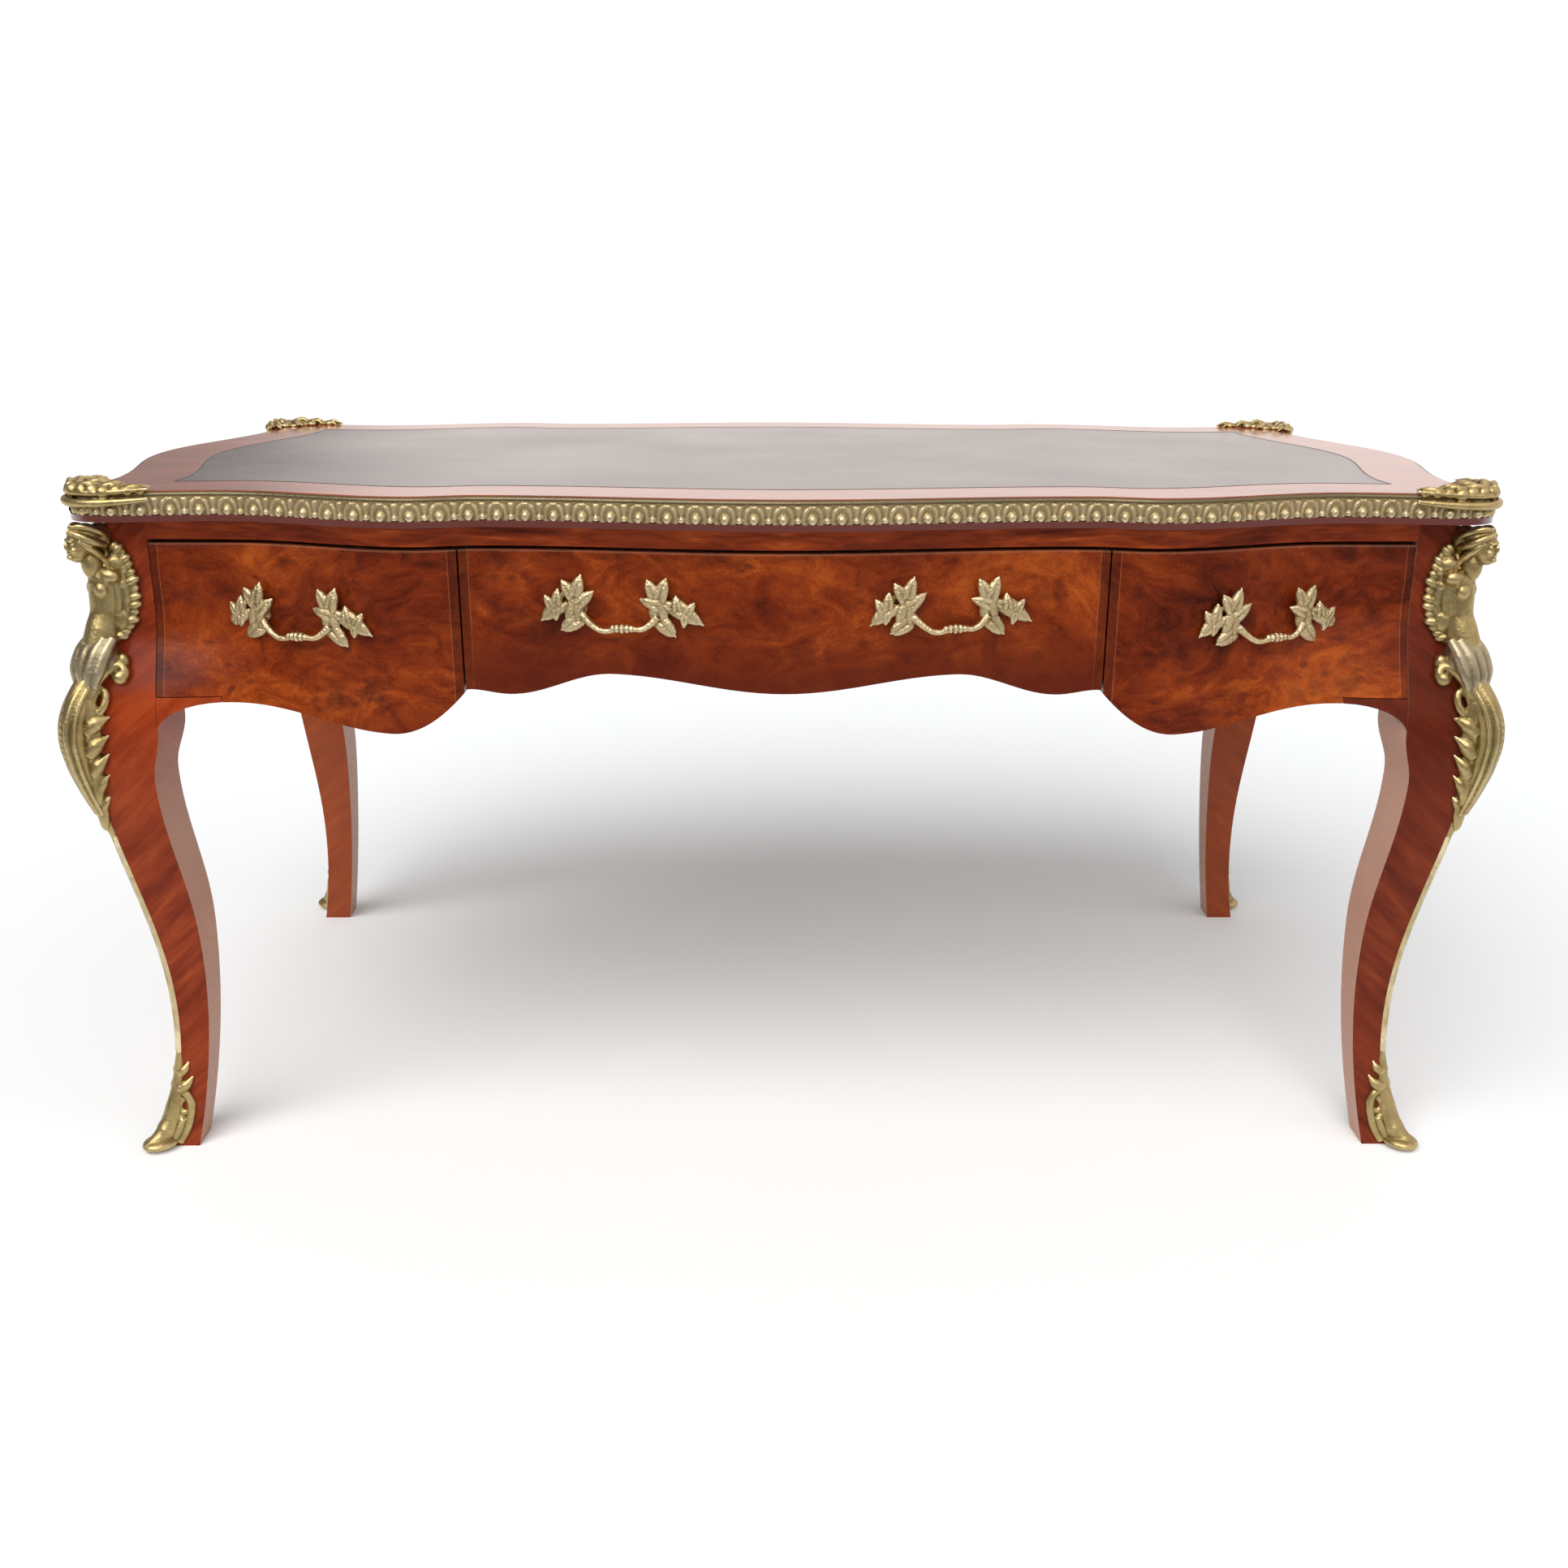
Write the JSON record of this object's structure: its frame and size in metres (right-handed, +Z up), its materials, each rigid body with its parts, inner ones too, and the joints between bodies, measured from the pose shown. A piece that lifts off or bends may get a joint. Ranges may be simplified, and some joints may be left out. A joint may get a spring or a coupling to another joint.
{
  "type": "writing desk",
  "caption": "Free-standing writing desk with serpentine leather-lined top, sliding frieze drawers, cabriole legs and cast brass mounts.",
  "frame": {"origin": "on the floor under the centre of the desk", "axes": "+X along the length to the sitter's right, +Y from the front to the back, +Z up"},
  "size_m": [1.644, 0.9, 0.824],
  "materials": {
    "walnut_veneer": "polished burr and straight-grained veneer",
    "carcass_oak": "plain waxed",
    "gilt_brass": "cast, chased and lacquered",
    "desk_leather": "tooled with gilt lines",
    "steel_screws": "plain"
  },
  "bodies": {
    "frame": {"back_panel_centre": "walnut_veneer", "back_panel_left": "walnut_veneer", "back_panel_right": "walnut_veneer", "back_pull_bolts": "gilt_brass", "back_pulls": "gilt_brass", "corner_figure_back_left": "gilt_brass", "corner_figure_back_right": "gilt_brass", "corner_figure_front_left": "gilt_brass", "corner_figure_front_right": "gilt_brass", "drawer_divider_left": "carcass_oak", "drawer_divider_right": "carcass_oak", "drawer_runners": "carcass_oak", "end_panel_left": "walnut_veneer", "end_panel_right": "walnut_veneer", "frieze_rail_back": "walnut_veneer", "frieze_rail_front": "walnut_veneer", "knee_brackets": "walnut_veneer", "leather_writing_surface": "desk_leather", "leg_back_left": "walnut_veneer", "leg_back_right": "walnut_veneer", "leg_edge_strips": "gilt_brass", "leg_front_left": "walnut_veneer", "leg_front_right": "walnut_veneer", "sabot_back_left": "gilt_brass", "sabot_back_right": "gilt_brass", "sabot_front_left": "gilt_brass", "sabot_front_right": "gilt_brass", "top_corner_clasp_back_left": "gilt_brass", "top_corner_clasp_back_right": "gilt_brass", "top_corner_clasp_front_left": "gilt_brass", "top_corner_clasp_front_right": "gilt_brass", "top_fixing_screws": "steel_screws", "top_moulding_back": "gilt_brass", "top_moulding_front": "gilt_brass", "top_moulding_left": "gilt_brass", "top_moulding_right": "gilt_brass", "top_panel": "walnut_veneer"},
    "left_drawer": {"left_drawer_back": "carcass_oak", "left_drawer_bottom": "carcass_oak", "left_drawer_front": "walnut_veneer", "left_drawer_pull": "gilt_brass", "left_drawer_pull_bolts": "gilt_brass", "left_drawer_side_left": "carcass_oak", "left_drawer_side_right": "carcass_oak"},
    "centre_drawer": {"centre_drawer_back": "carcass_oak", "centre_drawer_bottom": "carcass_oak", "centre_drawer_front": "walnut_veneer", "centre_drawer_pull_bolts": "gilt_brass", "centre_drawer_pull_left": "gilt_brass", "centre_drawer_pull_right": "gilt_brass", "centre_drawer_side_left": "carcass_oak", "centre_drawer_side_right": "carcass_oak"},
    "right_drawer": {"right_drawer_back": "carcass_oak", "right_drawer_bottom": "carcass_oak", "right_drawer_front": "walnut_veneer", "right_drawer_pull": "gilt_brass", "right_drawer_pull_bolts": "gilt_brass", "right_drawer_side_left": "carcass_oak", "right_drawer_side_right": "carcass_oak"}
  },
  "joints": [
    {"name": "left_drawer_slide", "type": "slide", "parent": "frame", "child": "left_drawer", "axis": [0, -1, 0], "range_m": [0, 0.3]},
    {"name": "centre_drawer_slide", "type": "slide", "parent": "frame", "child": "centre_drawer", "axis": [0, -1, 0], "range_m": [0, 0.3]},
    {"name": "right_drawer_slide", "type": "slide", "parent": "frame", "child": "right_drawer", "axis": [0, -1, 0], "range_m": [0, 0.3]}
  ]
}
